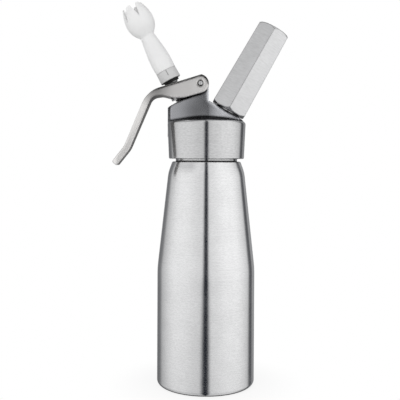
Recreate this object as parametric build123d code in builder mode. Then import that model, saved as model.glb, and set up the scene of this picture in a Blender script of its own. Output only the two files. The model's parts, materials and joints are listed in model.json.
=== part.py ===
from build123d import *
import os
from math import cos, pi, radians, sin, tan

os.makedirs("parts", exist_ok=True)

# Bottle: a cylinder below, a cone above, a bevelled shoulder and a threaded neck
bottle_radius = 38.7
cylinder_height = 92.5
cone_height = 76.0
shoulder_rise = 8.5
shoulder_width = 2.7
shoulder_lean = 20.0
waist_bend_radius = 90.0
shoulder_bend_radius = 30.0
shoulder_round = 1.2
base_round = 3.5
base_groove_radius = 24.0
base_groove_width = 1.6
base_groove_depth = 0.5
bottle_wall = 1.0
base_wall = 2.0
neck_radius = 24.5
neck_wall = 2.2
neck_height = 17.6

# Screw threads: ridge height, its width at the root, and the travel in one turn
thread_clearance = 0.2
neck_ridge = 1.0
neck_ridge_width = 2.4
neck_lead = 4.0
neck_thread_start = 3.0
neck_thread_height = 11.0
stub_ridge = 0.7
stub_ridge_width = 1.1
stub_lead = 1.6
nozzle_ridge = 0.5
nozzle_ridge_width = 1.0
nozzle_lead = 1.6

# Head: a cap over the neck, and a sloping block with a lug for the lever, in heights above the cap's roof
skirt_gap = 2.2
skirt_wall = 4.2
skirt_flare = 1.3
skirt_height = 11.8
skirt_round = 2.5
skirt_edge = 0.5
dome_lean = 12.0
dome_flat_radius = 6.0
gasket_thickness = 2.0
gasket_width = 3.2
block_nose = 31.0
block_nose_depth = 5.5
block_nose_round = 3.0
block_valve_x = -16.0
block_valve_depth = 9.6
block_crease_depth = 13.5
block_end_x = 25.0
block_end_depth = 10.6
block_end_bulge = 4.5
block_height = 33.9
block_top_valve_depth = 7.4
block_top_end_depth = 8.0
block_edge = 1.2

# Lever: a fork on the pin, an arm over the valve and a curved grip, measured from the pin
pivot_x = -5.0
pivot_height = 41.9
pin_radius = 2.0
pin_recess = 0.7
pin_chamfer = 0.6
lug_radius = 6.5
lug_depth = 8.0
fork_gap = 0.5
fork_end_gap = 1.0
fork_wall = 3.0
pivot_clearance = 0.05
pivot_chamfer = 0.9
crest_x = 0.6
crest_z = 6.8
end_x = 6.6
end_z = -0.3
heel_x = 2.1
heel_z = -7.3
belly_back_x = -12.5
belly_back_z = -11.7
belly_low_x = -20.0
belly_low_z = -12.0
finger_length = 8.3
finger_lean = 9.8
arm_lean = 17.4
arm_length = 44.8
grip_lean = 67.3
grip_length = 46.5
grip_thickness = 5.3
grip_half_width = 8.0
tip_lean = 51.5
tip_length = 15.8
arm_bend_radius = 22.0
grip_bend_radius = 22.0
finger_round = 7.5
tip_round = 1.4
tip_corner = 5.0
belly_round = 20.0
arm_taper_start = 31.0
arm_taper_end = 52.0
arm_taper_radius = 60.0
lever_edge = 0.9

# Valve, measured along its axis from the point where it leaves the head
valve_x = -20.0
valve_height = 29.2
valve_lean = 28.4
stem_radius = 3.0
stem_bore = 1.6
stem_port = 1.2
stem_clearance = 0.06
plate_radius = 7.0
plate_height = 2.6
plate_thickness = 1.6
pad_radius = 6.0
pad_gap = 0.1
pad_rise = 1.1
stem_neck_radius = 3.6
stem_shoulder_radius = 4.6
stem_shoulder_height = 1.4
nozzle_thread_radius = 4.0
nozzle_thread_length = 6.5
stem_slot_clearance = 0.4
stem_slot_sweep = 1.4
guide_depth = 14.0
guide_height = 3.0
guide_radius = 5.3
stem_seal_section = 0.8
valve_spring_radius = 4.1
valve_spring_wire = 0.9
valve_spring_turns = 6.0
seat_depth = 27.0
valve_seal_radius = 5.4
valve_seal_thickness = 1.5
plug_radius = 5.6
plug_thickness = 4.0
plug_clearance = 0.8
plug_spigot = 2.0
plug_spigot_length = 3.0
plug_chamfer = 0.8

# Nozzle: a seal, a collar and a tulip tip, measured from the collar's lower face
nozzle_height = 18.0
nozzle_seal_radius = 6.2
nozzle_seal_thickness = 1.6
collar_low_radius = 8.45
collar_top_radius = 8.2
collar_length = 8.5
collar_edge = 0.3
collar_mark_width = 0.5
collar_mark_depth = 0.4
collar_mark_length = 4.9
collar_spigot_radius = 6.0
collar_spigot_length = 6.0
collar_passage = 3.0
tip_barrel_radius = 8.35
tip_barrel_height = 19.0
tip_barrel_flare = 3.0
tip_waist_radius = 5.8
tip_waist_height = 39.8
tip_waist_fall = 7.0
tip_foot_lean = 38.0
tip_shoulder_radius = 9.05
tip_shoulder_rise = 4.2
tip_bulb_radius = 11.45
tip_bulb_rise = 12.2
tip_upper_radius = 10.35
tip_upper_rise = 20.0
tip_mouth_radius = 8.1
tip_mouth_rise = 26.5
tip_wall = 1.1
petal_count = 6
petal_turn = -20.0
petal_notch_depth = 11.6
petal_notch_half_width = 2.3
petal_corner = 0.5

# Charger side, measured along its axis from the point where it leaves the head
charger_x = 16.3
charger_height = 20.15
charger_lean = -29.4
holder_gap = 1.2
holder_low_flats = 27.8
holder_top_flats = 25.2
holder_chamfer = 2.0
holder_end_inset = 0.3
holder_dome = 0.8
holder_wall_top = 5.2
holder_clearance = 0.3
stub_radius = 9.5
stub_height = 13.0
stub_edge = 0.8
socket_radius = 7.4
socket_depth = 8.0
stub_washer_thickness = 1.0
stub_washer_bore = 4.0
stub_passage = 1.2
charger_radius = 9.0
charger_tip = 5.8
charger_length = 65.0
charger_neck_radius = 4.3
charger_neck_length = 9.0
charger_shoulder_length = 9.5
charger_neck_round = 0.6
charger_shoulder_round = 8.0
charger_base_round = 5.0
charger_wall = 1.2
charger_cap = 1.8
charger_hole = 1.5
charger_seal_thickness = 1.2
charger_seal_bore = 1.8
pierce_body_radius = 1.6
pierce_body_length = 5.6
pierce_tip_radius = 1.0
pierce_reach = 2.2
pierce_point = 1.2
pierce_bore = 0.4

# Check valve: a ball under a vertical gas channel
channel_radius = 1.4
check_bore = 2.7
check_seat_height = 7.9
ball_radius = 2.2
ball_gap = 0.02
check_plug_height = 2.0
check_plug_bore = 1.0
check_spring_radius = 1.5
check_spring_wire = 0.4
check_spring_turns = 3.0
spring_seat_gap = 0.05


# Directions and places that several pieces share
def section_plane(x, z, lean, turn=0):
    """A plane through an inclined axis, turned around it: its second direction runs along the axis."""
    across = Vector(cos(radians(lean)), 0, sin(radians(lean)))
    front = Vector(0, -1, 0)
    return Plane(
        origin=(x, 0, z),
        x_dir=across * cos(radians(turn)) - front * sin(radians(turn)),
        z_dir=front * cos(radians(turn)) + across * sin(radians(turn)),
    )


def lean_axis(x, z, lean):
    return Axis((x, 0, z), (-sin(radians(lean)), 0, cos(radians(lean))))


def end_plane(x, z, lean, height):
    """A plane across an inclined axis, at a height along it."""
    along = Vector(-sin(radians(lean)), 0, cos(radians(lean)))
    return Plane(origin=Vector(x, 0, z) + along * height, x_dir=(0, 1, 0), z_dir=along)


def step(point, lean, distance):
    """The point at a distance down a line that falls to the left at an angle."""
    return (point[0] - distance * cos(radians(lean)), point[1] - distance * sin(radians(lean)))


def inner_corner(point, lean_before, lean_after, distance):
    """The corner of a line that runs beside a bent line, at a distance under it."""
    half = radians(lean_after - lean_before) / 2
    middle = radians(lean_before + lean_after) / 2
    reach = distance / cos(half)
    return (point[0] + reach * sin(middle), point[1] - reach * cos(middle))


cone_top = cylinder_height + cone_height
shoulder_height = cone_top + shoulder_rise
shoulder_radius = neck_radius + shoulder_width
cone_radius = shoulder_radius + shoulder_rise * tan(radians(shoulder_lean))
neck_top = shoulder_height + neck_height
neck_bore = neck_radius - neck_wall

roof = neck_top + gasket_thickness
skirt_bottom = shoulder_height + skirt_gap
skirt_top = roof + skirt_height
skirt_bore = neck_radius + neck_ridge + thread_clearance
skirt_low_radius = skirt_bore + skirt_wall
skirt_top_radius = skirt_low_radius + skirt_flare
gasket_radius = skirt_bore - thread_clearance
dome_top = skirt_top + (skirt_top_radius - dome_flat_radius) * tan(radians(dome_lean))
block_top = roof + block_height
pivot_z = roof + pivot_height
valve_z = roof + valve_height
charger_z = roof + charger_height

valve_section = section_plane(valve_x, valve_z, valve_lean)
valve_axis = lean_axis(valve_x, valve_z, valve_lean)
plate_top = plate_height + plate_thickness
guide_top = guide_height - guide_depth
seal_recess_radius = stem_radius + 2 * stem_seal_section + stem_clearance
seal_recess_depth = guide_depth + 2 * stem_seal_section + stem_clearance
stem_hole = stem_radius + stem_clearance
plug_top = -seat_depth - valve_seal_thickness
plug_recess_radius = plug_radius + plug_clearance
shoulder_top = nozzle_height - nozzle_seal_thickness
shoulder_low = shoulder_top - stem_shoulder_height
stem_top = nozzle_height + nozzle_thread_length
collar_bore = nozzle_thread_radius + thread_clearance
tip_low = nozzle_height + collar_length
tip_waist = nozzle_height + tip_waist_height
tip_mouth = tip_waist + tip_mouth_rise

charger_section = section_plane(charger_x, charger_z, charger_lean)
charger_axis = lean_axis(charger_x, charger_z, charger_lean)
holder_floor = charger_tip + charger_length
holder_top = holder_floor + holder_wall_top
charger_seal_low = charger_tip - charger_seal_thickness
stub_low = stub_washer_thickness - socket_depth
stub_thread_radius = stub_radius + stub_ridge
holder_mouth = stub_thread_radius + thread_clearance
holder_bore = charger_radius + holder_clearance
check_x = charger_x + socket_depth * sin(radians(charger_lean))
check_z = charger_z - socket_depth * cos(radians(charger_lean))
check_seat = roof + check_seat_height
ball_z = check_seat - ball_gap - (ball_radius**2 - channel_radius**2) ** 0.5

fork_half = lug_depth + fork_gap
lever_half_width = fork_half + fork_wall


def thread_ridge(plane, radius, ridge, width, lead, height):
    """A screw thread's ridge, wound up from a plane around its axis, rooted under the surface."""
    with BuildPart() as winding:
        with BuildLine() as line:
            Helix(pitch=lead, height=height, radius=radius, center=plane.origin, direction=plane.z_dir)
        path = line.wires()[0]
        with BuildSketch(Plane(path @ 0, x_dir=path @ 0 - plane.origin, z_dir=path % 0)):
            with BuildLine():
                Polyline(
                    (-ridge, -width / 2),
                    (0, -width / 2),
                    (ridge, -width / 6),
                    (ridge, width / 6),
                    (0, width / 2),
                    (-ridge, width / 2),
                    close=True,
                )
            make_face()
        sweep(path=path)
    return winding.part


def coil_spring(plane, radius, wire, turns, height):
    """A wire of a given thickness, wound up from a plane."""
    with BuildPart() as coil:
        with BuildLine() as line:
            Helix(height / turns, height, radius, center=plane.origin, direction=plane.z_dir)
        path = line.wires()[0]
        with BuildSketch(Plane(path @ 0, x_dir=path @ 0 - plane.origin, z_dir=path % 0)):
            Circle(wire / 2)
        sweep(path=path, is_frenet=True)
    return coil.part


def circles_near(part, height, reach):
    """The round edges whose centres lie near a height."""
    return part.edges().filter_by(GeomType.CIRCLE).filter_by(lambda e: abs(e.center().Z - height) < reach)


# Bottle
neck_thread = thread_ridge(
    Plane.XY.offset(shoulder_height + neck_thread_start),
    neck_radius, neck_ridge, neck_ridge_width, neck_lead, neck_thread_height,
)
with BuildPart() as bottle:
    with BuildSketch(Plane.XZ):
        with BuildLine():
            FilletPolyline(
                (0, 0),
                (bottle_radius, 0),
                (bottle_radius, cylinder_height),
                (cone_radius, cone_top),
                (shoulder_radius, shoulder_height),
                (neck_radius, shoulder_height),
                radius=[base_round, waist_bend_radius, shoulder_bend_radius, shoulder_round],
            )
            Polyline((neck_radius, shoulder_height), (neck_radius, neck_top), (0, neck_top), (0, 0))
        make_face()
    revolve(axis=Axis.Z)
    with BuildSketch(Plane.XZ):
        with BuildLine():
            Polyline(
                (0, base_wall),
                (bottle_radius - bottle_wall, base_wall),
                (bottle_radius - bottle_wall, cylinder_height),
                (cone_radius - bottle_wall, cone_top),
                (neck_bore, shoulder_height - bottle_wall),
                (neck_bore, neck_top),
                (0, neck_top),
                close=True,
            )
        make_face()
    revolve(axis=Axis.Z, mode=Mode.SUBTRACT)
    fillet(circles_near(bottle, base_wall, skirt_edge), radius=base_round - bottle_wall)
    with BuildSketch(Plane.XZ):
        with Locations((base_groove_radius, base_groove_depth / 2)):
            Rectangle(base_groove_width, base_groove_depth)
    revolve(axis=Axis.Z, mode=Mode.SUBTRACT)
    add(neck_thread)
bottle.part.label = "bottle"
export_step(bottle.part, "parts/bottle.step")

# Flat ring between the neck's rim and the head
with BuildPart() as head_gasket:
    with BuildSketch(Plane.XY.offset(neck_top)):
        Circle(gasket_radius)
        Circle(gasket_radius - gasket_width, mode=Mode.SUBTRACT)
    extrude(amount=gasket_thickness)
head_gasket.part.label = "head_gasket"
export_step(head_gasket.part, "parts/head_gasket.step")


# Block on the head: boat-shaped in plan, cut to the two slopes and the lever's lug from the side
def block_plan(valve_depth, crease_depth, end_depth):
    """The block's outline seen from above."""
    nose_x = block_nose_round - block_nose
    crease_x = pivot_x + lug_radius - fork_gap
    ThreePointArc((nose_x, -block_nose_depth), (-block_nose, 0), (nose_x, block_nose_depth))
    ThreePointArc((block_end_x, -end_depth), (block_end_x + block_end_bulge, 0), (block_end_x, end_depth))
    for side in (-1, 1):
        crease = (crease_x, side * crease_depth)
        ThreePointArc((nose_x, side * block_nose_depth), (block_valve_x, side * valve_depth), crease)
        Line(crease, (block_end_x, side * end_depth))


def slope_height(x, foot_x, foot_z, lean):
    """The height of a slope that crosses an inclined axis squarely, at a place along X."""
    return foot_z + (x - foot_x) * tan(radians(lean))


lug_left = pivot_x - lug_radius
lug_right = pivot_x + lug_radius
block_right = block_end_x + block_end_bulge
with BuildPart() as block:
    with BuildSketch(Plane.XY.offset(roof)):
        with BuildLine():
            block_plan(block_valve_depth, block_crease_depth, block_end_depth)
        make_face()
    with BuildSketch(Plane.XY.offset(block_top)):
        with BuildLine():
            block_plan(block_top_valve_depth, lug_depth, block_top_end_depth)
        make_face()
    loft(ruled=True)
    with BuildSketch(Plane.XZ):
        with Locations((pivot_x, pivot_z)):
            Circle(lug_radius)
        with Locations((pivot_x, pivot_z)):
            Rectangle(2 * lug_radius, pivot_z - valve_z, align=(Align.CENTER, Align.MAX))
    extrude(amount=lug_depth, both=True)
    with BuildSketch(Plane.XZ):
        with BuildLine():
            Polyline(
                (-block_nose, roof),
                (-block_nose, slope_height(-block_nose, valve_x, valve_z, valve_lean)),
                (lug_left, slope_height(lug_left, valve_x, valve_z, valve_lean)),
                (lug_left, pivot_z),
            )
            ThreePointArc((lug_left, pivot_z), (pivot_x, pivot_z + lug_radius), (lug_right, pivot_z))
            Polyline(
                (lug_right, pivot_z),
                (lug_right, slope_height(lug_right, charger_x, charger_z, charger_lean)),
                (block_right, slope_height(block_right, charger_x, charger_z, charger_lean)),
                (block_right, roof),
                (-block_nose, roof),
            )
        make_face()
    extrude(amount=2 * block_crease_depth, both=True, mode=Mode.INTERSECT)
    flats = block.faces().filter_by(GeomType.PLANE)
    slopes = flats.filter_by(lambda f: cos(pi / 4) < f.normal_at().Z < cos(pi / 12))
    fillet(slopes.edges().filter_by(lambda e: e.geom_type != GeomType.LINE), radius=block_edge)

with BuildPart() as head:
    with BuildSketch(Plane.XZ):
        with BuildLine():
            Polyline(
                (0, roof),
                (skirt_bore, roof),
                (skirt_bore, skirt_bottom),
                (skirt_low_radius, skirt_bottom),
                (skirt_top_radius, skirt_top),
                (dome_flat_radius, dome_top),
                (0, dome_top),
                close=True,
            )
        make_face()
    revolve(axis=Axis.Z)
    fillet(circles_near(head, skirt_top, skirt_edge).sort_by(SortBy.RADIUS)[-1], radius=skirt_round)
    chamfer(circles_near(head, skirt_bottom, skirt_edge), length=skirt_edge)
    add(block.part)
    with BuildSketch(Plane.XZ):
        with Locations((pivot_x, pivot_z)):
            Circle(pin_radius)
    extrude(amount=lug_depth, both=True, mode=Mode.SUBTRACT)
    with BuildSketch(valve_section):
        with BuildLine():
            Polyline(
                (0, guide_depth),
                (guide_radius, guide_depth),
                (guide_radius, -guide_depth),
                (seal_recess_radius, -guide_depth),
                (seal_recess_radius, -seal_recess_depth),
                (stem_hole, -seal_recess_depth),
                (stem_hole, -seat_depth),
                (plug_recess_radius, -seat_depth),
                (plug_recess_radius, -seat_depth - guide_depth),
                (0, -seat_depth - guide_depth),
                close=True,
            )
        make_face()
    revolve(axis=valve_axis, mode=Mode.SUBTRACT)
    with BuildSketch(charger_section):
        with Locations((socket_radius / 2, 0)):
            Rectangle(socket_radius, 2 * socket_depth)
    revolve(axis=charger_axis, mode=Mode.SUBTRACT)
    with BuildSketch(Plane.XY.offset(roof)):
        with Locations((check_x, 0)):
            Circle(check_bore)
    extrude(amount=check_seat_height, mode=Mode.SUBTRACT)
    with BuildSketch(Plane.XY.offset(roof)):
        with Locations((check_x, 0)):
            Circle(channel_radius)
    extrude(amount=check_z - roof + channel_radius, mode=Mode.SUBTRACT)
head.part.label = "head"
export_step(head.part, "parts/head.step")

# Pin through the fork and the lug
with BuildPart() as lever_pin:
    with BuildSketch(Plane.XZ):
        with Locations((pivot_x, pivot_z)):
            Circle(pin_radius)
    extrude(amount=lever_half_width - pin_recess, both=True)
    chamfer(lever_pin.edges().filter_by(GeomType.CIRCLE), length=pin_chamfer)
lever_pin.part.label = "lever_pin"
export_step(lever_pin.part, "parts/lever_pin.step")

# Lever: its side outline, cut to its outline from above, then hollowed over the lug and the valve
pivot_plane = Plane(origin=(pivot_x, 0, pivot_z), x_dir=(1, 0, 0), z_dir=(0, -1, 0))
lever_crest = (crest_x, crest_z)
lever_heel = (heel_x, heel_z)
arm_corner = step(lever_crest, arm_lean, arm_length)
grip_corner = step(arm_corner, grip_lean, grip_length)
tip_top = step(grip_corner, tip_lean, tip_length)
finger_corner = inner_corner(arm_corner, arm_lean, grip_lean, grip_thickness)
lever_outline = [
    lever_heel,
    (belly_back_x, belly_back_z),
    (belly_low_x, belly_low_z),
    step(finger_corner, finger_lean, -finger_length),
    finger_corner,
    inner_corner(grip_corner, grip_lean, tip_lean, grip_thickness),
    inner_corner(tip_top, tip_lean, tip_lean, grip_thickness),
    tip_top,
    grip_corner,
    arm_corner,
    lever_crest,
]
belly_rounds = [belly_round, belly_round, finger_round, finger_round]
grip_rounds = [grip_bend_radius, tip_round, tip_round, grip_bend_radius, arm_bend_radius]
lever_far = pivot_x + tip_top[0] - fork_gap
lever_near = pivot_x + 2 * lug_radius
pad_centre = plate_top + pad_gap + pad_radius
web_low = plate_top + pad_gap + pad_rise
stem_slot_half_width = stem_shoulder_radius + stem_slot_clearance
with BuildPart() as lever:
    with BuildSketch(pivot_plane):
        with BuildLine():
            FilletPolyline(*lever_outline, radius=belly_rounds + grip_rounds)
            ThreePointArc(lever_crest, (end_x, end_z), lever_heel)
        make_face()
    extrude(amount=lever_half_width, both=True)
    with BuildSketch(Plane.XY):
        with BuildLine():
            for side in (-1, 1):
                FilletPolyline(
                    (lever_far, 0),
                    (lever_far, side * grip_half_width),
                    (pivot_x - arm_taper_end, side * grip_half_width),
                    (pivot_x - arm_taper_start, side * lever_half_width),
                    (lever_near, side * lever_half_width),
                    radius=[tip_corner, arm_taper_radius, arm_taper_radius],
                )
            Line((lever_near, -lever_half_width), (lever_near, lever_half_width))
        make_face()
    extrude(amount=2 * pivot_z, mode=Mode.INTERSECT)
    fillet(lever.edges(), radius=lever_edge)
    with BuildSketch(Plane.XZ):
        with Locations((pivot_x - lug_radius - fork_end_gap, pivot_z)):
            Rectangle(4 * lug_radius, 4 * lug_radius, align=(Align.MIN, Align.CENTER))
    extrude(amount=fork_half, both=True, mode=Mode.SUBTRACT)
    with BuildSketch(valve_section):
        with Locations((0, web_low)):
            Rectangle(4 * pad_radius, guide_depth, align=(Align.CENTER, Align.MAX))
    extrude(amount=fork_half, both=True, mode=Mode.SUBTRACT)
    with BuildSketch(valve_section):
        with Locations((0, pad_centre)):
            Circle(pad_radius)
        with Locations((0, web_low + pad_rise)):
            Rectangle(4 * pad_radius, 4 * pad_radius, align=(Align.CENTER, Align.MIN), mode=Mode.SUBTRACT)
    extrude(amount=fork_half, both=True)
    with BuildSketch(end_plane(valve_x, valve_z, valve_lean, 0)):
        SlotCenterToCenter(2 * stem_slot_sweep, 2 * stem_slot_half_width, rotation=90)
    extrude(amount=nozzle_height + pad_radius, mode=Mode.SUBTRACT)
    with BuildSketch(Plane.XZ):
        with Locations((pivot_x, pivot_z)):
            Circle(pin_radius + pivot_clearance)
    extrude(amount=lever_half_width, both=True, mode=Mode.SUBTRACT)
    circles = lever.edges().filter_by(GeomType.CIRCLE)
    rims = circles.filter_by(lambda e: abs(e.radius - pin_radius) < fork_gap).group_by(Axis.Y)
    chamfer(rims[0] + rims[-1], length=pivot_chamfer)
lever.part.label = "lever"
export_step(lever.part, "parts/lever.step")

# Valve stem: a hollow rod with a spring plate under the lever and a threaded top
port_height = stem_port + stem_clearance - seat_depth
stem_thread = thread_ridge(
    end_plane(valve_x, valve_z, valve_lean, nozzle_height + nozzle_ridge_width),
    nozzle_thread_radius - nozzle_ridge, nozzle_ridge, nozzle_ridge_width, nozzle_lead,
    nozzle_thread_length - 2 * nozzle_ridge_width,
)
with BuildPart() as valve_stem:
    with BuildSketch(valve_section):
        with BuildLine():
            Polyline(
                (0, plug_top - plug_spigot_length),
                (plug_spigot, plug_top - plug_spigot_length),
                (plug_spigot, plug_top),
                (stem_radius, plug_top),
                (stem_radius, plate_height),
                (plate_radius, plate_height),
                (plate_radius, plate_top),
                (stem_neck_radius, plate_top),
                (stem_neck_radius, shoulder_low),
                (stem_shoulder_radius, shoulder_low),
                (stem_shoulder_radius, shoulder_top),
                (nozzle_thread_radius - nozzle_ridge, shoulder_top),
                (nozzle_thread_radius - nozzle_ridge, stem_top),
                (0, stem_top),
                close=True,
            )
        make_face()
    revolve(axis=valve_axis)
    add(stem_thread)
    with BuildSketch(end_plane(valve_x, valve_z, valve_lean, port_height - stem_bore)):
        Circle(stem_bore)
    extrude(amount=stem_top - port_height + stem_bore, mode=Mode.SUBTRACT)
    with BuildSketch(valve_section):
        with Locations((0, port_height)):
            Circle(stem_port)
    extrude(amount=stem_radius, both=True, mode=Mode.SUBTRACT)
valve_stem.part.label = "valve_stem"
export_step(valve_stem.part, "parts/valve_stem.step")

# Plug on the stem's lower end
with BuildPart() as valve_plug:
    with BuildSketch(valve_section):
        with BuildLine():
            Polyline(
                (plug_spigot, plug_top),
                (plug_radius, plug_top),
                (plug_radius, plug_top - plug_thickness + plug_chamfer),
                (plug_radius - plug_chamfer, plug_top - plug_thickness),
                (0, plug_top - plug_thickness),
                (0, plug_top - plug_spigot_length),
                (plug_spigot, plug_top - plug_spigot_length),
                close=True,
            )
        make_face()
    revolve(axis=valve_axis)
valve_plug.part.label = "valve_plug"
export_step(valve_plug.part, "parts/valve_plug.step")


def valve_ring(inner, outer, low, top):
    """A plain ring around the valve's axis."""
    with BuildPart() as ring:
        with BuildSketch(end_plane(valve_x, valve_z, valve_lean, low)):
            Circle(outer)
            Circle(inner, mode=Mode.SUBTRACT)
        extrude(amount=top - low)
    return ring


# Sealing ring on the plug, which closes on the seat in the head
valve_seal = valve_ring(stem_radius, valve_seal_radius, plug_top, -seat_depth)
valve_seal.part.label = "valve_seal"
export_step(valve_seal.part, "parts/valve_seal.step")

# Bush that guides the stem and carries the spring
valve_guide = valve_ring(stem_hole, guide_radius, -guide_depth, guide_top)
valve_guide.part.label = "valve_guide"
export_step(valve_guide.part, "parts/valve_guide.step")

# Round sealing ring under the bush
with BuildPart() as stem_seal:
    with BuildSketch(valve_section):
        with Locations(((stem_hole + seal_recess_radius) / 2, -(guide_depth + seal_recess_depth) / 2)):
            Circle(stem_seal_section - stem_clearance)
    revolve(axis=valve_axis)
stem_seal.part.label = "stem_seal"
export_step(stem_seal.part, "parts/stem_seal.step")

# Return spring between the bush and the spring plate
spring_end = valve_spring_wire / 2 + spring_seat_gap
valve_spring = coil_spring(
    end_plane(valve_x, valve_z, valve_lean, guide_top + spring_end),
    valve_spring_radius, valve_spring_wire, valve_spring_turns, plate_height - guide_top - 2 * spring_end,
)
valve_spring.label = "valve_spring"
export_step(valve_spring, "parts/valve_spring.step")

# Ring between the stem's shoulder and the collar
nozzle_seal = valve_ring(collar_bore, nozzle_seal_radius, shoulder_top, nozzle_height)
nozzle_seal.part.label = "nozzle_seal"
export_step(nozzle_seal.part, "parts/nozzle_seal.step")

# Collar that screws on the stem, with a spigot for the tip
with BuildPart() as nozzle_collar:
    with BuildSketch(valve_section):
        with BuildLine():
            Polyline(
                (collar_bore, nozzle_height),
                (collar_low_radius - collar_edge, nozzle_height),
                (collar_low_radius, nozzle_height + collar_edge),
                (collar_top_radius, tip_low - collar_edge),
                (collar_top_radius - collar_edge, tip_low),
                (collar_spigot_radius, tip_low),
                (collar_spigot_radius, tip_low + collar_spigot_length),
                (collar_passage, tip_low + collar_spigot_length),
                (collar_passage, stem_top + thread_clearance),
                (collar_bore, stem_top + thread_clearance),
                close=True,
            )
        make_face()
    revolve(axis=valve_axis)
    with BuildSketch(end_plane(valve_x, valve_z, valve_lean, tip_low - collar_mark_length)):
        with PolarLocations(collar_top_radius, 2):
            Rectangle(2 * collar_mark_depth, collar_mark_width)
    extrude(amount=collar_mark_length, mode=Mode.SUBTRACT)
nozzle_collar.part.label = "nozzle_collar"
export_step(nozzle_collar.part, "parts/nozzle_collar.step")


# Tulip tip: a thin shell with a barrel, a slim waist, a bulb and blunt petals
def bulb_curve(inset):
    """The bulb's outline from the waist to the mouth, drawn in by an inset."""
    points = [
        (tip_waist_radius, tip_waist),
        (tip_shoulder_radius, tip_waist + tip_shoulder_rise),
        (tip_bulb_radius, tip_waist + tip_bulb_rise),
        (tip_upper_radius, tip_waist + tip_upper_rise),
        (tip_mouth_radius, tip_mouth),
    ]
    places = [(radius - inset, height) for radius, height in points]
    mouth_fall = (tip_mouth_radius - tip_upper_radius) / (tip_mouth_rise - tip_upper_rise)
    return Spline(*places, tangents=((tan(radians(tip_foot_lean)), 1), (mouth_fall, 1)))


with BuildPart() as nozzle_tip:
    with BuildSketch(valve_section):
        with BuildLine():
            outside = bulb_curve(0)
            Spline(
                (collar_top_radius, tip_low),
                (tip_barrel_radius, nozzle_height + tip_barrel_height),
                outside @ 0,
                tangents=((tan(radians(tip_barrel_flare)), 1), (-tan(radians(tip_waist_fall)), 1)),
            )
            Polyline(outside @ 1, (0, tip_mouth), (0, tip_low), (collar_top_radius, tip_low))
        make_face()
    revolve(axis=valve_axis)
    with BuildSketch(valve_section):
        with BuildLine():
            inside = bulb_curve(tip_wall)
            Polyline(
                inside @ 1,
                (0, tip_mouth),
                (0, tip_low),
                (collar_spigot_radius, tip_low),
                (collar_spigot_radius, tip_low + collar_spigot_length),
                inside @ 0,
            )
        make_face()
    revolve(axis=valve_axis, mode=Mode.SUBTRACT)
    for petal in range(petal_count):
        turn = petal_turn + (petal + 1 / 2) * 360 / petal_count
        with BuildSketch(section_plane(valve_x, valve_z, valve_lean, turn)):
            with BuildLine():
                Polyline(
                    (0, tip_mouth - petal_notch_depth),
                    (petal_notch_half_width, tip_mouth - petal_corner),
                    (petal_notch_half_width + petal_corner, tip_mouth),
                    (-petal_notch_half_width - petal_corner, tip_mouth),
                    (-petal_notch_half_width, tip_mouth - petal_corner),
                    close=True,
                )
            make_face()
        extrude(amount=2 * tip_bulb_radius, mode=Mode.SUBTRACT)
nozzle_tip.part.label = "nozzle_tip"
export_step(nozzle_tip.part, "parts/nozzle_tip.step")

# Threaded stub for the charger holder
pierce_low = charger_seal_low - pierce_body_length
neck_recess = charger_neck_radius + holder_clearance
stub_thread = thread_ridge(
    end_plane(charger_x, charger_z, charger_lean, holder_gap + stub_ridge_width),
    stub_radius, stub_ridge, stub_ridge_width, stub_lead,
    stub_height - stub_edge - holder_gap - 2 * stub_ridge_width,
)
with BuildPart() as charger_stub:
    with BuildSketch(charger_section):
        with BuildLine():
            Polyline(
                (stub_passage, stub_low),
                (socket_radius, stub_low),
                (socket_radius, 0),
                (stub_radius, 0),
                (stub_radius, stub_height - stub_edge),
                (stub_radius - stub_edge, stub_height),
                (neck_recess, stub_height),
                (neck_recess, charger_seal_low),
                (pierce_body_radius, charger_seal_low),
                (pierce_body_radius, pierce_low),
                (stub_passage, pierce_low),
                close=True,
            )
        make_face()
    revolve(axis=charger_axis)
    add(stub_thread)
charger_stub.part.label = "charger_stub"
export_step(charger_stub.part, "parts/charger_stub.step")

# Washer under the stub
with BuildPart() as stub_washer:
    with BuildSketch(end_plane(charger_x, charger_z, charger_lean, -socket_depth)):
        Circle(socket_radius)
        Circle(stub_washer_bore, mode=Mode.SUBTRACT)
    extrude(amount=stub_washer_thickness)
stub_washer.part.label = "stub_washer"
export_step(stub_washer.part, "parts/stub_washer.step")

# Ring that the charger's neck presses on
with BuildPart() as charger_seal:
    with BuildSketch(end_plane(charger_x, charger_z, charger_lean, charger_seal_low)):
        Circle(neck_recess)
        Circle(charger_seal_bore, mode=Mode.SUBTRACT)
    extrude(amount=charger_seal_thickness)
charger_seal.part.label = "charger_seal"
export_step(charger_seal.part, "parts/charger_seal.step")

# Hollow pin that opens the charger
pierce_top = charger_tip + pierce_reach
with BuildPart() as piercing_pin:
    with BuildSketch(charger_section):
        with BuildLine():
            Polyline(
                (pierce_bore, pierce_low),
                (pierce_body_radius, pierce_low),
                (pierce_body_radius, charger_seal_low),
                (pierce_tip_radius, charger_seal_low),
                (pierce_tip_radius, pierce_top - pierce_point),
                (pierce_bore, pierce_top),
                close=True,
            )
        make_face()
    revolve(axis=charger_axis)
piercing_pin.part.label = "piercing_pin"
export_step(piercing_pin.part, "parts/piercing_pin.step")


# Gas charger: a hollow bulb with a narrow neck
def bulb_profile(inset, low, top):
    """Half of the bulb's outline, drawn in by an inset."""
    neck = charger_neck_radius - inset
    body = charger_radius - inset
    shoulder = charger_tip + charger_neck_length
    FilletPolyline(
        (0, low),
        (neck, low),
        (neck, shoulder),
        (body, shoulder + charger_shoulder_length),
        (body, top),
        (0, top),
        radius=[
            charger_neck_round,
            charger_shoulder_round,
            charger_shoulder_round,
            charger_base_round - inset,
        ],
    )
    Line((0, low), (0, top))


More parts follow.
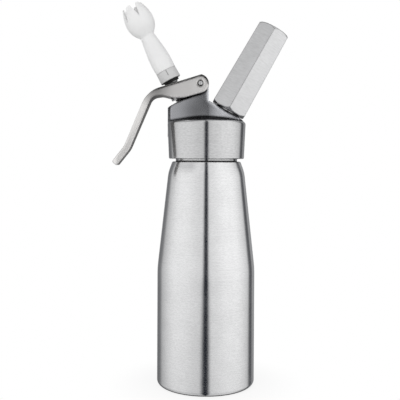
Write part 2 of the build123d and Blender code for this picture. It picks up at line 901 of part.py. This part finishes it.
with BuildPart() as gas_charger:
    with BuildSketch(charger_section):
        with BuildLine():
            bulb_profile(0, charger_tip, holder_floor)
        make_face()
    revolve(axis=charger_axis)
    with BuildSketch(charger_section):
        with BuildLine():
            bulb_profile(charger_wall, charger_tip + charger_cap, holder_floor - charger_wall)
        make_face()
    revolve(axis=charger_axis, mode=Mode.SUBTRACT)
    with BuildSketch(end_plane(charger_x, charger_z, charger_lean, charger_tip)):
        Circle(charger_hole)
    extrude(amount=2 * charger_cap, mode=Mode.SUBTRACT)
gas_charger.part.label = "gas_charger"
export_step(gas_charger.part, "parts/gas_charger.step")

# Charger holder: a tapered hexagon, turned at both ends and bored from below
holder_low_turn = holder_low_flats / 2 - holder_end_inset
holder_top_turn = holder_top_flats / 2 - holder_end_inset
holder_low_corner = holder_low_flats / 2 / cos(pi / 6)
holder_top_corner = holder_top_flats / 2 / cos(pi / 6)
holder_rim = holder_top - holder_dome
with BuildPart() as charger_holder:
    with BuildSketch(end_plane(charger_x, charger_z, charger_lean, holder_gap)):
        RegularPolygon(radius=holder_low_flats / 2, side_count=6, major_radius=False)
    with BuildSketch(end_plane(charger_x, charger_z, charger_lean, holder_top)):
        RegularPolygon(radius=holder_top_flats / 2, side_count=6, major_radius=False)
    loft()
    with BuildSketch(charger_section):
        with BuildLine():
            Polyline(
                (0, holder_gap),
                (holder_low_turn, holder_gap),
                (holder_low_corner, holder_gap + holder_chamfer),
                (holder_top_corner, holder_rim - holder_chamfer),
                (holder_top_turn, holder_rim),
            )
            TangentArc((0, holder_top), (holder_top_turn, holder_rim), tangent=(1, 0))
            Line((0, holder_top), (0, holder_gap))
        make_face()
    revolve(axis=charger_axis, mode=Mode.INTERSECT)
    with BuildSketch(charger_section):
        with BuildLine():
            Polyline(
                (0, 0),
                (holder_mouth, 0),
                (holder_mouth, stub_height),
                (holder_bore, stub_height + holder_mouth - holder_bore),
                (holder_bore, holder_floor),
                (0, holder_floor),
                close=True,
            )
        make_face()
    revolve(axis=charger_axis, mode=Mode.SUBTRACT)
charger_holder.part.label = "charger_holder"
export_step(charger_holder.part, "parts/charger_holder.step")

# Check valve: ball, spring and drilled plug in the head's vertical bore
with BuildPart(Plane.XY.offset(ball_z)) as check_ball:
    with Locations((check_x, 0, 0)):
        Sphere(ball_radius)
check_ball.part.label = "check_ball"
export_step(check_ball.part, "parts/check_ball.step")

with BuildPart() as check_plug:
    with BuildSketch(Plane.XY.offset(roof)):
        with Locations((check_x, 0)):
            Circle(check_bore)
            Circle(check_plug_bore, mode=Mode.SUBTRACT)
    extrude(amount=check_plug_height)
check_plug.part.label = "check_plug"
export_step(check_plug.part, "parts/check_plug.step")

check_spring_low = roof + check_plug_height + check_spring_wire / 2 + spring_seat_gap
check_spring_top = ball_z - ball_radius + check_spring_wire / 2
check_spring = coil_spring(
    Plane(origin=(check_x, 0, check_spring_low)),
    check_spring_radius, check_spring_wire, check_spring_turns, check_spring_top - check_spring_low,
)
check_spring.label = "check_spring"
export_step(check_spring, "parts/check_spring.step")
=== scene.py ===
import json
import math
from collections import namedtuple

import bpy
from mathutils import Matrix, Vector


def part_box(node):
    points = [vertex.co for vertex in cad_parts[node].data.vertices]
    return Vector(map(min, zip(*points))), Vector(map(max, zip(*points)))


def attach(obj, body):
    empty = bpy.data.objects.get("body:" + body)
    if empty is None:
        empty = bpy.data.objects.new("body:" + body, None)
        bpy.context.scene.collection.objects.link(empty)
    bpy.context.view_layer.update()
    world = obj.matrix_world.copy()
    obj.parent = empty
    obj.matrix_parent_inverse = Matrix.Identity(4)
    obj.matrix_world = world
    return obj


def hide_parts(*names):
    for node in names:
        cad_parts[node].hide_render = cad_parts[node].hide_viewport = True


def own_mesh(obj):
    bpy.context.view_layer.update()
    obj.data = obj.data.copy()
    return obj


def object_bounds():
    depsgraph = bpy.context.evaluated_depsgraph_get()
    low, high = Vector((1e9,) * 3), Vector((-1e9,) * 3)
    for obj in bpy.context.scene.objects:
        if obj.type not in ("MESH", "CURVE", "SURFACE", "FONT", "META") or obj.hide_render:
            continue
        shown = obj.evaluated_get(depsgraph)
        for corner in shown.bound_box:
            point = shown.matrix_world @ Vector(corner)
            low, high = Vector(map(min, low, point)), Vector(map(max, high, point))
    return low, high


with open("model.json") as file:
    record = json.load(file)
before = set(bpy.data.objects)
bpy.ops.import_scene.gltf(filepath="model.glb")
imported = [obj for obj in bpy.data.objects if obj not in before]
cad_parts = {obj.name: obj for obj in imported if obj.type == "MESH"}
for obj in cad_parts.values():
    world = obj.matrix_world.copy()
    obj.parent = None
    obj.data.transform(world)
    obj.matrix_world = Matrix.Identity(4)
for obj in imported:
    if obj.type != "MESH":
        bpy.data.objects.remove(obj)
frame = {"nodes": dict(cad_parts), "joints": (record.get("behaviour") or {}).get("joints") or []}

cad_low, cad_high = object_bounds()
nodes = frame["nodes"]
joints = {joint["name"]: joint for joint in frame["joints"]}
scene = bpy.context.scene
scene.view_settings.view_transform = "Standard"

# Scale of a noise along each axis, and how far it lightens and darkens
Grain = namedtuple("Grain", "scale strength")

# Tone of a painted shade in crevices, or of a painted light or dark line along edges, the open shares where
# it is full and where it is gone, and its reach in metres
Band = namedtuple("Band", "tone full gone reach")

# The way that the edges with a painted edge line face, and the two places along X between which the painted
# line sets in
Side = namedtuple("Side", "way start")

# A way, and the tone of the painted shade on what faces it
Facing = namedtuple("Facing", "way tone")

# A patch of painted shade, or of painted light where its tone is over one: a place in the XZ plane, how far
# it reaches, and the tone at its middle
PaintedPatch = namedtuple("PaintedPatch", "place reach tone")

# Two inputs, and the results at the first and at the second
Step = namedtuple("Step", "low high at_low at_high")

# A bearing in degrees, the half widths where its tone is full and where it is gone, and the tone
Flag = namedtuple("Flag", "bearing full gone tone")

# Upright, and the axes of the leaning parts, taken from their joints
upright = Vector((0.0, 0.0, 1.0))
valve_foot = Vector(joints["nozzle_turn"]["pos_m"])
valve_axis = Vector(joints["nozzle_turn"]["axis"]).normalized()
charger_axis = Vector(joints["holder_turn"]["axis"]).normalized()

# Camera, from the photo
camera_distance = 0.570
camera_side = -0.0051
camera_height = 0.177
camera_pitch = math.radians(0.9)
camera_roll = math.radians(0.27)
field_width = 0.3196
field_shift = -0.0682
sensor_width = 36.0

# Floor, with the share of white in it by the distance from the bottle's axis
white = (1.0, 1.0, 1.0, 1.0)
floor_half = 6.0
floor_gap = 0.0001
floor_colour = (0.9, 0.9, 0.9, 1.0)
floor_white = Step(0.036, 0.085, 0.86, 1.0)

# Soft light, and two lamps, one on each side of the front
soft_level = 0.68
lamp_power = 3.6
lamp_size = 0.9
lamp_reach = 1.3
lamp_aside = 0.75
lamp_front = 0.75
lamp_rise = 0.25

# Light tent, as a sphere around the part
tent_radius = 1.6
tent_rings = 24
tent_sides = 48
haze_colour = (0.2, 0.4, 1.0, 1.0)
haze_level = 0.012

# Light of the tent, by degrees off the front or above the camera's height. The first two are factors on the
# angle off the slit, so one under 1 makes the slit wider.
slit_by_rise = Step(-18, -12.5, 0.6, 1.05)
slit_by_bearing = Step(-5, 5, 0.85, 1.06)
slit_light = Step(2.6, 8.4, 0.008, 0.82)
box_swell = Step(8, 58, 0.0, 0.18)
box_fade = Step(72, 160, 1.0, 0.30)
back_light = Step(164, 176, 0.0, 0.5)
left_share = Step(-20, 20, 0.93, 1.0)
top_share = Step(50, 85, 1.0, 0.7)
low_share = Step(-36, -8, 0.68, 1.0)
corner_by_rise = Step(12, 45, 0.0, 0.5)
corner_by_bearing = Step(-60, -25, 1.0, 0.0)
flags = (Flag(129, 4, 15, 0.2), Flag(-143, 8, 20, 0.55))

# Height of the bottle's neck, with a margin that takes in the flat ring at its foot
neck_height = 0.0176
neck_margin = 0.0001

# Heights where the head's brushed skirt and its dome end, and the least upward share of the dome's normals
skirt_top = 0.2083
dome_top = 0.2155
dome_steep = 0.95

# Where the lever bends and its arm starts along X, and the ways that its underside and its arm's top face;
# the bend gets a patch of painted shade, the underside painted shade and the arm's top edges a painted dark
# line
lever_bend = (-0.0407, 0.0, 0.2336)
lever_inward = (0.86, 0.0, -0.5)
lever_up = (0.3, 0.0, 0.95)
arm_start = (-0.046, -0.036)

# Two places on the head's block: the middle of a painted shade in its crease and of a painted highlight at
# its right foot
block_crease = (-0.0080, 0.0, 0.2165)
block_foot = (0.0130, 0.0, 0.2190)

# Springs
valve_wire = 0.0009
valve_turns = 6
check_wire = 0.0004
check_turns = 3
steps_per_turn = 36
wire_sides = 10
end_closing = 0.55

# What the materials share: spans of noise that count, clouds, spread of roughness, samples, the usual painted
# shade in crevices
noise_detail = 2.0
grain_span = (0.25, 0.75)
cloud_span = (0.3, 0.7)
cloud_scale = (60.0, 60.0, 60.0)
rough_spread = 0.15
hollow_samples = 8
edge_samples = 12
usual_crevice = Band(0.05, 0.3, 0.85, 0.006)

# Shares of a normal along a way between which a painted edge line sets in, and between which the painted
# shade of an underside sets in
rim_facing = (0.08, 0.22)
underside_shade_facing = (0.35, 0.75)

# Radius, in reaches of the painted edge line, of the bevel that tells which way an edge faces
side_width = 2

# Brushing: its relief, and the turn that lays the gloss along it
brush_relief = 0.000002
brush_turn = 0.25


class Nodes:
    """A short way to write a node tree."""

    def __init__(self, tree):
        self.tree = tree

    def add(self, kind, **settings):
        node = self.tree.nodes.new(kind)
        for key, value in settings.items():
            setattr(node, key, value)
        return node

    def put(self, value, socket):
        """Links an output to a socket, or sets a constant on it."""
        if isinstance(value, bpy.types.NodeSocket):
            self.tree.links.new(value, socket)
        else:
            socket.default_value = value

    def math(self, operation, first, second=0.0):
        node = self.add("ShaderNodeMath", operation=operation)
        self.put(first, node.inputs[0])
        self.put(second, node.inputs[1])
        return node.outputs[0]

    def plus(self, first, second):
        return self.math("ADD", first, second)

    def times(self, first, second):
        return self.math("MULTIPLY", first, second)

    def rest(self, share):
        """What a share leaves of one."""
        return self.math("SUBTRACT", 1.0, share)

    def mix(self, share, first, second):
        """A value between two others."""
        return self.plus(self.times(first, self.rest(share)), self.times(share, second))

    def ramp(self, value, low, high, at_low, at_high):
        """A smooth step from one value to another."""
        node = self.add("ShaderNodeMapRange", interpolation_type="SMOOTHSTEP")
        self.put(value, node.inputs["Value"])
        self.put(low, node.inputs["From Min"])
        self.put(high, node.inputs["From Max"])
        self.put(at_low, node.inputs["To Min"])
        self.put(at_high, node.inputs["To Max"])
        return node.outputs["Result"]

    def swing(self, angle, step):
        """A smooth step of an angle, with the step's inputs in degrees."""
        return self.ramp(angle, math.radians(step.low), math.radians(step.high), step.at_low, step.at_high)

    def vector(self, operation, first, second=None):
        """A vector operation on an output, and on a constant where there is one."""
        node = self.add("ShaderNodeVectorMath", operation=operation)
        self.put(first, node.inputs[0])
        if second is not None:
            node.inputs[1].default_value = second
        return node.outputs

    def dot(self, vector, way):
        return self.vector("DOT_PRODUCT", vector, way)["Value"]

    def place(self):
        return self.add("ShaderNodeTexCoord").outputs["Object"]

    def split(self, vector):
        node = self.add("ShaderNodeSeparateXYZ")
        self.put(vector, node.inputs[0])
        return node.outputs

    def noise(self, scale, lean=0.0):
        """Noise with its own scale along each axis, after a lean about Y."""
        turn = self.add("ShaderNodeMapping")
        self.put(self.place(), turn.inputs["Vector"])
        turn.inputs["Rotation"].default_value = (0.0, lean, 0.0)
        node = self.add("ShaderNodeTexNoise")
        self.put(self.vector("MULTIPLY", turn.outputs["Vector"], scale)["Vector"], node.inputs["Vector"])
        node.inputs["Scale"].default_value = 1.0
        node.inputs["Detail"].default_value = noise_detail
        return node.outputs["Fac"]

    def openness(self, reach, inside=False):
        """How open the space is around a point, or the solid behind it."""
        node = self.add("ShaderNodeAmbientOcclusion", samples=hollow_samples, inside=inside)
        node.inputs["Distance"].default_value = reach
        return node.outputs["AO"]

    def rounded(self, radius):
        """The normal, as if the edges were rounded."""
        node = self.add("ShaderNodeBevel", samples=edge_samples)
        node.inputs["Radius"].default_value = radius
        return node.outputs["Normal"]

    def glow(self, colour, strength=1.0):
        node = self.add("ShaderNodeEmission")
        node.inputs["Color"].default_value = colour
        self.put(strength, node.inputs["Strength"])
        return node.outputs["Emission"]

    def seen(self):
        """One for camera, glossy and transmission rays."""
        path = self.add("ShaderNodeLightPath")
        both = self.math("MAXIMUM", path.outputs["Is Camera Ray"], path.outputs["Is Glossy Ray"])
        return self.math("MAXIMUM", both, path.outputs["Is Transmission Ray"])

    def show(self, shader):
        """Makes a shader the result of the tree."""
        self.put(shader, self.tree.nodes["Material Output"].inputs["Surface"])


def grey(level):
    return (level, level, level, 1.0)


def even(scale, strength):
    """A grain that is alike along all axes."""
    return Grain((scale, scale, scale), strength)


def lean_of(axis):
    """The lean of an axis about Y."""
    return math.atan2(-axis.x, axis.z)


def blank(name):
    """A new material, its nodes and its shader."""
    material = bpy.data.materials.new(name)
    material.use_nodes = True
    return material, Nodes(material.node_tree), material.node_tree.nodes["Principled BSDF"]


def stand(name, points, faces):
    """A new mesh object in the scene."""
    mesh = bpy.data.meshes.new(name)
    mesh.from_pydata(points, [], faces)
    mesh.validate()
    piece = bpy.data.objects.new(name, mesh)
    scene.collection.objects.link(piece)
    return piece


def painted_shading(graph, normal, crevice, rim, rim_side, underside_painted_shade, painted_patches):
    """The painted light and shade of a surface: painted shade in its crevices, a painted light or dark line
    along its edges, painted shade on its underside, and painted patches of shade and light.
    """
    # Painted shade in crevices
    tone = graph.ramp(graph.openness(crevice.reach), crevice.full, crevice.gone, crevice.tone, 1.0)
    # A painted light or dark line along the edges
    if rim:
        share = graph.ramp(graph.openness(rim.reach, inside=True), rim.full, rim.gone, 1.0, 0.0)
        if rim_side:
            way = graph.dot(graph.rounded(side_width * rim.reach), rim_side.way)
            share = graph.times(share, graph.ramp(way, *rim_facing, 0.0, 1.0))
            along = graph.split(graph.place())["X"]
            share = graph.times(share, graph.ramp(along, *rim_side.start, 0.0, 1.0))
        tone = graph.mix(share, tone, rim.tone)
    # Painted shade on the underside
    if underside_painted_shade:
        way = graph.dot(normal, underside_painted_shade.way)
        tone = graph.times(tone, graph.ramp(way, *underside_shade_facing, 1.0, underside_painted_shade.tone))
    # Patches of painted shade and painted light
    for shade in painted_patches:
        flat = graph.vector("MULTIPLY", graph.place(), (1.0, 0.0, 1.0))["Vector"]
        apart = graph.vector("DISTANCE", flat, shade.place)["Value"]
        tone = graph.times(tone, graph.ramp(apart, 0.0, shade.reach, shade.tone, 1.0))
    return tone


def surface(name, colour, roughness, metallic, grain, cloud=0.06, relief=0.0, edge=0.0003, lean=0.0,
            crevice=usual_crevice, rim=None, rim_side=None, streaks=None, underside_painted_shade=None, painted_patches=()):
    """A material with fine grain, faint clouds, a little relief, softened edges, painted shade in its
    crevices and painted patches of light and shade.

    A painted light or dark line lies along the outer edges, or only along those on its side. Streaks are a
    second, coarser grain.
    The painted underside shade is the way of an underside and its tone.
    """
    material, graph, shader = blank(name)
    shader.inputs["Metallic"].default_value = metallic
    fine = graph.noise(grain.scale, lean)
    broad = graph.noise(cloud_scale)
    light = graph.plus(graph.ramp(fine, *grain_span, -grain.strength, grain.strength),
                       graph.ramp(broad, *cloud_span, -cloud / 2, cloud / 2))
    if streaks:
        coarse = graph.noise(streaks.scale, lean)
        light = graph.plus(light, graph.ramp(coarse, *grain_span, -streaks.strength, streaks.strength))
    normal = graph.rounded(edge)
    # Painted light and shade, multiplied into the base colour
    tone = painted_shading(graph, normal, crevice, rim, rim_side, underside_painted_shade, painted_patches)
    paint = graph.add("ShaderNodeHueSaturation")
    paint.inputs["Color"].default_value = colour
    graph.put(graph.times(graph.plus(light, 1.0), tone), paint.inputs["Value"])
    graph.put(paint.outputs["Color"], shader.inputs["Base Color"])
    smooth, rough = roughness * (1 - rough_spread), roughness * (1 + rough_spread)
    dull = graph.plus(graph.ramp(fine, *grain_span, smooth, rough),
                      graph.ramp(broad, *cloud_span, 0.0, cloud / 2))
    graph.put(dull, shader.inputs["Roughness"])
    bump = graph.add("ShaderNodeBump")
    bump.inputs["Strength"].default_value = 1.0
    bump.inputs["Distance"].default_value = relief
    graph.put(fine, bump.inputs["Height"])
    graph.put(normal, bump.inputs["Normal"])
    graph.put(bump.outputs["Normal"], shader.inputs["Normal"])
    return material, graph, shader


def brushed(name, colour, roughness, streak, grain, axis, **more):
    """Metal brushed around an axis."""
    material, graph, shader = surface(name, colour, roughness, 1.0, grain, relief=brush_relief,
                                      lean=lean_of(axis), **more)
    around = graph.add("ShaderNodeVectorMath", operation="CROSS_PRODUCT")
    around.inputs[0].default_value = axis
    graph.put(graph.add("ShaderNodeNewGeometry").outputs["Normal"], around.inputs[1])
    graph.put(around.outputs["Vector"], shader.inputs["Tangent"])
    shader.inputs["Anisotropic"].default_value = streak
    shader.inputs["Anisotropic Rotation"].default_value = brush_turn
    return material


# Metals of the bottle, the head, the lever, the charger's holder and the pins
drawn = dict(colour=grey(0.84), roughness=0.18, streak=0.9, grain=Grain((30.0, 30.0, 5200.0), 0.05),
             axis=upright, streaks=Grain((450.0, 450.0, 1600.0), 0.06))
# The bottle has painted shade in its crevices and a painted highlight along its edges
bottle_metal = brushed("bottle metal", **drawn, crevice=Band(0.0, 0.5, 0.92, 0.002),
                       rim=Band(1.19, 0.65, 0.95, 0.0006))
# A copy of the bottle metal with a deeper painted shade, for the neck in the gap under the skirt
neck_metal_painted_shade = brushed("neck metal painted shade", **drawn, crevice=Band(0.0, 0.64, 0.93, 0.0019))
# The skirt has painted shade in its crevices and a painted highlight along its edges
skirt_metal = brushed("skirt metal", colour=grey(0.67), roughness=0.20, streak=0.9,
                      grain=Grain((25.0, 25.0, 5200.0), 0.05), axis=upright,
                      crevice=Band(0.05, 0.3, 0.85, 0.004), rim=Band(1.45, 0.65, 0.95, 0.0010),
                      streaks=Grain((450.0, 450.0, 1600.0), 0.08))
cast = dict(colour=(0.39, 0.394, 0.41, 1.0), roughness=0.25, metallic=1.0, grain=even(1500.0, 0.05),
            relief=0.000004)
# The cast block has painted shade in its crevices, a painted highlight along its edges, a patch of painted
# shade in its crease and a patch of painted light at its right foot
cast_metal, *_ = surface("cast metal", **cast, edge=0.0040, crevice=Band(0.02, 0.55, 0.92, 0.003),
                         rim=Band(2.4, 0.65, 0.95, 0.0017),
                         painted_patches=(PaintedPatch(block_crease, 0.018, 0.5), PaintedPatch(block_foot, 0.016, 1.9)))
# A copy of the cast metal for the dome, with a wide painted shade near the block and a near-black specular
# tint that paints its glancing reflection dark
dome_metal_painted_shade, _, dome_shader = surface("dome metal painted shade", **cast, crevice=Band(0.2, 0.2, 0.7, 0.006))
dome_shader.inputs["Specular Tint"].default_value = grey(0.02)
# The lever has painted shade in its crevices, a painted dark line along its arm's top edges, painted shade on
# its underside and a patch of painted shade at its bend; a grey specular tint dims its glancing reflections
# too
lever_metal, _, lever_shader = surface("lever metal", colour=(0.96, 0.94, 0.92, 1.0), roughness=0.38,
                                       metallic=1.0, grain=even(3200.0, 0.03), relief=0.0000002, edge=0.0018,
                                       crevice=Band(0.02, 0.5, 0.9, 0.006), rim=Band(0.0, 0.77, 0.95, 0.0028),
                                       rim_side=Side(lever_up, arm_start), underside_painted_shade=Facing(lever_inward, 0.6),
                                       painted_patches=(PaintedPatch(lever_bend, 0.018, 0.33),))
lever_shader.inputs["Specular Tint"].default_value = grey(0.3)
# The holder has painted shade in its crevices and a painted dark line along its edges
holder_metal = brushed("holder metal", colour=grey(0.79), roughness=0.32, streak=0.8,
                       grain=Grain((120.0, 120.0, 5200.0), 0.06), axis=charger_axis, edge=0.0006,
                       crevice=Band(0.05, 0.3, 0.85, 0.002), rim=Band(0.3, 0.65, 0.95, 0.0012),
                       streaks=Grain((220.0, 220.0, 1500.0), 0.05))
# The pins and the ball have a light painted shade in their crevices
pin_metal, *_ = surface("pin metal", colour=grey(0.85), roughness=0.28, metallic=1.0,
                        grain=Grain((5000.0, 200.0, 5000.0), 0.04), relief=0.000001, edge=0.0012,
                        crevice=Band(0.3, 0.1, 0.5, 0.002))

# Turned metals, spring wire, the charger's plated steel and rubber, each with the usual painted shade in its
# crevices
turned = dict(streak=0.7, grain=Grain((80.0, 80.0, 6000.0), 0.06))
stem_metal = brushed("stem metal", colour=grey(0.72), roughness=0.24, axis=valve_axis, **turned)
stub_metal = brushed("stub metal", colour=grey(0.72), roughness=0.24, axis=charger_axis, **turned)
brass = brushed("turned brass", colour=(0.80, 0.58, 0.27, 1.0), roughness=0.26, axis=valve_axis, edge=0.0002,
                **turned)
spring_metal, *_ = surface("spring wire", colour=(0.70, 0.70, 0.72, 1.0), roughness=0.26, metallic=1.0,
                           grain=even(3000.0, 0.06), edge=0.00005)
plated, *_ = surface("plated steel", colour=(0.66, 0.67, 0.70, 1.0), roughness=0.24, metallic=1.0,
                     grain=Grain((2500.0, 2500.0, 90.0), 0.05), relief=0.000002, lean=lean_of(charger_axis))
rubber, *_ = surface("black rubber", colour=grey(0.022), roughness=0.62, metallic=0.0,
                     grain=even(2500.0, 0.2), relief=0.00001, edge=0.0002)

# Plastics of the nozzle, with a faint painted shade in their crevices
collar_plastic, *_ = surface("light grey plastic", colour=grey(0.63), roughness=0.42, metallic=0.0,
                             grain=even(2200.0, 0.02), cloud=0.03, relief=0.000004, lean=lean_of(valve_axis),
                             crevice=Band(0.4, 0.3, 0.85, 0.006))
tip_plastic, _, tip_shader = surface("white plastic", colour=grey(0.875), roughness=0.38, metallic=0.0,
                                     grain=even(1800.0, 0.01), cloud=0.02, relief=0.000003,
                                     lean=lean_of(valve_axis), crevice=Band(0.8, 0.3, 0.85, 0.006))
tip_shader.inputs["Subsurface Weight"].default_value = 0.35
tip_shader.inputs["Subsurface Radius"].default_value = (1.0, 1.0, 1.0)
tip_shader.inputs["Subsurface Scale"].default_value = 0.0012


def dress(piece, *materials):
    """Puts materials on a piece."""
    piece.data.materials.clear()
    for material in materials:
        piece.data.materials.append(material)


def coil(node, origin, axis, wire, turns, name):
    """A wound wire with closed ends, in the place of a spring's node."""
    across = axis.orthogonal().normalized()
    other = axis.cross(across)
    reach = [(corner.co - origin) for corner in nodes[node].data.vertices]
    heights = [step.dot(axis) for step in reach]
    radius = max((step - axis * step.dot(axis)).length for step in reach) - wire / 2
    low = min(heights) + wire / 2
    high = max(heights) - wire / 2
    steps = steps_per_turn * turns
    points = []
    for step in range(steps + 1):
        share = step / steps
        rise = share - end_closing * math.sin(2 * math.pi * share) / (2 * math.pi)
        turn = 2 * math.pi * turns * share
        out = across * math.cos(turn) + other * math.sin(turn)
        centre = origin + axis * (low + (high - low) * rise) + out * radius
        for side in range(wire_sides):
            angle = 2 * math.pi * side / wire_sides
            points.append(centre + (out * math.cos(angle) + axis * math.sin(angle)) * wire / 2)
    faces = []
    for step in range(steps):
        for side in range(wire_sides):
            here = step * wire_sides + side
            beside = step * wire_sides + (side + 1) % wire_sides
            faces.append((here, beside, beside + wire_sides, here + wire_sides))
    caps = [tuple(reversed(range(wire_sides))), tuple(range(steps * wire_sides, (steps + 1) * wire_sides))]
    piece = stand(name, points, faces + caps)
    for face in piece.data.polygons:
        face.use_smooth = len(face.vertices) < wire_sides
    dress(piece, spring_metal)
    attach(piece, "head")
    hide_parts(node)
    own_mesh(piece)


# Springs
coil("valve_spring", valve_foot, valve_axis, valve_wire, valve_turns, "valve_spring_wire")
check_low, check_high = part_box("check_spring")
check_origin = Vector(((check_low.x + check_high.x) / 2, (check_low.y + check_high.y) / 2, check_low.z))
coil("check_spring", check_origin, upright, check_wire, check_turns, "check_spring_wire")

# Finishes of the pieces
finishes = {
    "bottle": (bottle_metal, neck_metal_painted_shade),
    "head": (skirt_metal, cast_metal, dome_metal_painted_shade),
    "lever": (lever_metal,),
    "lever_pin": (pin_metal,),
    "valve_stem": (stem_metal,),
    "valve_plug": (stem_metal,),
    "valve_guide": (brass,),
    "nozzle_collar": (collar_plastic,),
    "nozzle_tip": (tip_plastic,),
    "charger_holder": (holder_metal,),
    "charger_stub": (stub_metal,),
    "gas_charger": (plated,),
    "piercing_pin": (pin_metal,),
    "check_ball": (pin_metal,),
    "check_plug": (brass,),
    "head_gasket": (rubber,),
    "stem_seal": (rubber,),
    "valve_seal": (rubber,),
    "nozzle_seal": (rubber,),
    "stub_washer": (rubber,),
    "charger_seal": (rubber,),
}
for node, materials in finishes.items():
    dress(nodes[node], *materials)

# The bottle's neck and the flat ring at its foot get a copy of its metal with a deeper painted shade, for the
# gap under the skirt
neck_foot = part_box("bottle")[1].z - neck_height - neck_margin
wall_slot, neck_slot = range(2)
for face in nodes["bottle"].data.polygons:
    face.material_index = neck_slot if face.center.z > neck_foot else wall_slot

# The head is brushed on its skirt and cast above it; its dome has painted shade near the block and mirrors
# little at a low angle, a painted dark reflection
skirt_slot, cast_slot, dome_slot = range(3)
for face in nodes["head"].data.polygons:
    if face.center.z < skirt_top:
        face.material_index = skirt_slot
    elif face.center.z < dome_top and face.normal.z > dome_steep:
        face.material_index = dome_slot
    else:
        face.material_index = cast_slot

# Floor, white to what sees it and a little shaded around the part
floor = stand("floor", [(-floor_half, -floor_half, 0), (floor_half, -floor_half, 0),
                        (floor_half, floor_half, 0), (-floor_half, floor_half, 0)], [(0, 1, 2, 3)])
floor.location.z = cad_low.z - floor_gap
floor_paint, graph, plain = blank("floor")
plain.inputs["Base Color"].default_value = floor_colour
plain.inputs["Roughness"].default_value = 1.0
plain.inputs["Specular IOR Level"].default_value = 0.0
spot = graph.split(graph.place())
squares = graph.plus(graph.math("POWER", spot["X"], 2.0), graph.math("POWER", spot["Y"], 2.0))
away = graph.math("SQRT", squares)
blend = graph.add("ShaderNodeMixShader")
graph.put(graph.times(graph.seen(), graph.ramp(away, *floor_white)), blend.inputs["Fac"])
graph.put(plain.outputs["BSDF"], blend.inputs[1])
graph.put(graph.glow(white), blend.inputs[2])
graph.show(blend.outputs["Shader"])
dress(floor, floor_paint)
floor.visible_glossy = False

# White surroundings, with plain soft light for everything that isn't shiny
world = bpy.data.worlds.new("studio")
scene.world = world
world.use_nodes = True
graph = Nodes(world.node_tree)
background = world.node_tree.nodes["Background"]
background.inputs["Color"].default_value = white
graph.put(graph.ramp(graph.seen(), 0.0, 1.0, soft_level, 1.0), background.inputs["Strength"])

# Light tent that the metal mirrors: two wide soft boxes with a dark slit between them at the front. They fade
# towards the back, which is lit again, and each has a dark flag.
tent_points = []
for ring in range(tent_rings + 1):
    tilt = math.pi * (ring / tent_rings - 0.5)
    for side in range(tent_sides):
        turn = 2 * math.pi * side / tent_sides
        tent_points.append((tent_radius * math.cos(tilt) * math.cos(turn),
                            tent_radius * math.cos(tilt) * math.sin(turn), tent_radius * math.sin(tilt)))
tent_faces = []
for ring in range(tent_rings):
    for side in range(tent_sides):
        beside = (side + 1) % tent_sides
        tent_faces.append((ring * tent_sides + side, (ring + 1) * tent_sides + side,
                           (ring + 1) * tent_sides + beside, ring * tent_sides + beside))
tent = stand("tent", tent_points, tent_faces)
tent.location.z = camera_height
cloth, graph, _ = blank("tent")
toward = graph.split(graph.vector("NORMALIZE", graph.place())["Vector"])
bearing = graph.math("ARCTAN2", toward["X"], graph.times(toward["Y"], -1.0))
aside = graph.math("ABSOLUTE", bearing)
rise = graph.math("ARCSINE", toward["Z"])
from_slit = graph.times(aside, graph.swing(rise, slit_by_rise))
from_slit = graph.times(from_slit, graph.swing(bearing, slit_by_bearing))
boxes = graph.plus(graph.swing(from_slit, slit_light), graph.swing(aside, box_swell))
level = graph.times(boxes, graph.plus(graph.swing(aside, box_fade), graph.swing(aside, back_light)))
level = graph.times(level, graph.swing(bearing, left_share))
for flag in flags:
    off = graph.math("ABSOLUTE", graph.math("SUBTRACT", bearing, math.radians(flag.bearing)))
    level = graph.times(level, graph.swing(off, Step(flag.full, flag.gone, flag.tone, 1.0)))
corner = graph.times(graph.swing(rise, corner_by_rise), graph.swing(bearing, corner_by_bearing))
level = graph.times(level, graph.times(graph.swing(rise, top_share), graph.rest(corner)))
level = graph.times(level, graph.swing(rise, low_share))
both = graph.add("ShaderNodeAddShader")
graph.put(graph.glow(white, level), both.inputs[0])
graph.put(graph.glow(haze_colour, haze_level), both.inputs[1])
graph.show(both.outputs["Shader"])
dress(tent, cloth)
tent.visible_camera = False
tent.visible_diffuse = False
tent.visible_shadow = False

# Two soft lamps for the plastic, the rubber and the floor
middle = (cad_low + cad_high) / 2
for side in (-1, 1):
    light = bpy.data.lights.new("soft lamp", "AREA")
    light.shape = "SQUARE"
    light.size = lamp_size
    light.energy = lamp_power
    lamp = bpy.data.objects.new("soft lamp", light)
    lamp.location = middle + Vector((side * lamp_aside, -lamp_front, lamp_rise)) * lamp_reach
    lamp.rotation_euler = (middle - lamp.location).to_track_quat("-Z", "Y").to_euler()
    lamp.visible_glossy = False
    scene.collection.objects.link(lamp)

# Camera at the photo's angle
camera_data = bpy.data.cameras.new("camera")
camera_data.sensor_width = sensor_width
camera_data.lens = sensor_width * camera_distance / field_width
camera_data.shift_y = field_shift
camera = bpy.data.objects.new("camera", camera_data)
camera.location = (camera_side, -camera_distance, camera_height)
camera.rotation_euler = (math.pi / 2 - camera_pitch, -camera_roll, 0.0)
scene.collection.objects.link(camera)
scene.camera = camera
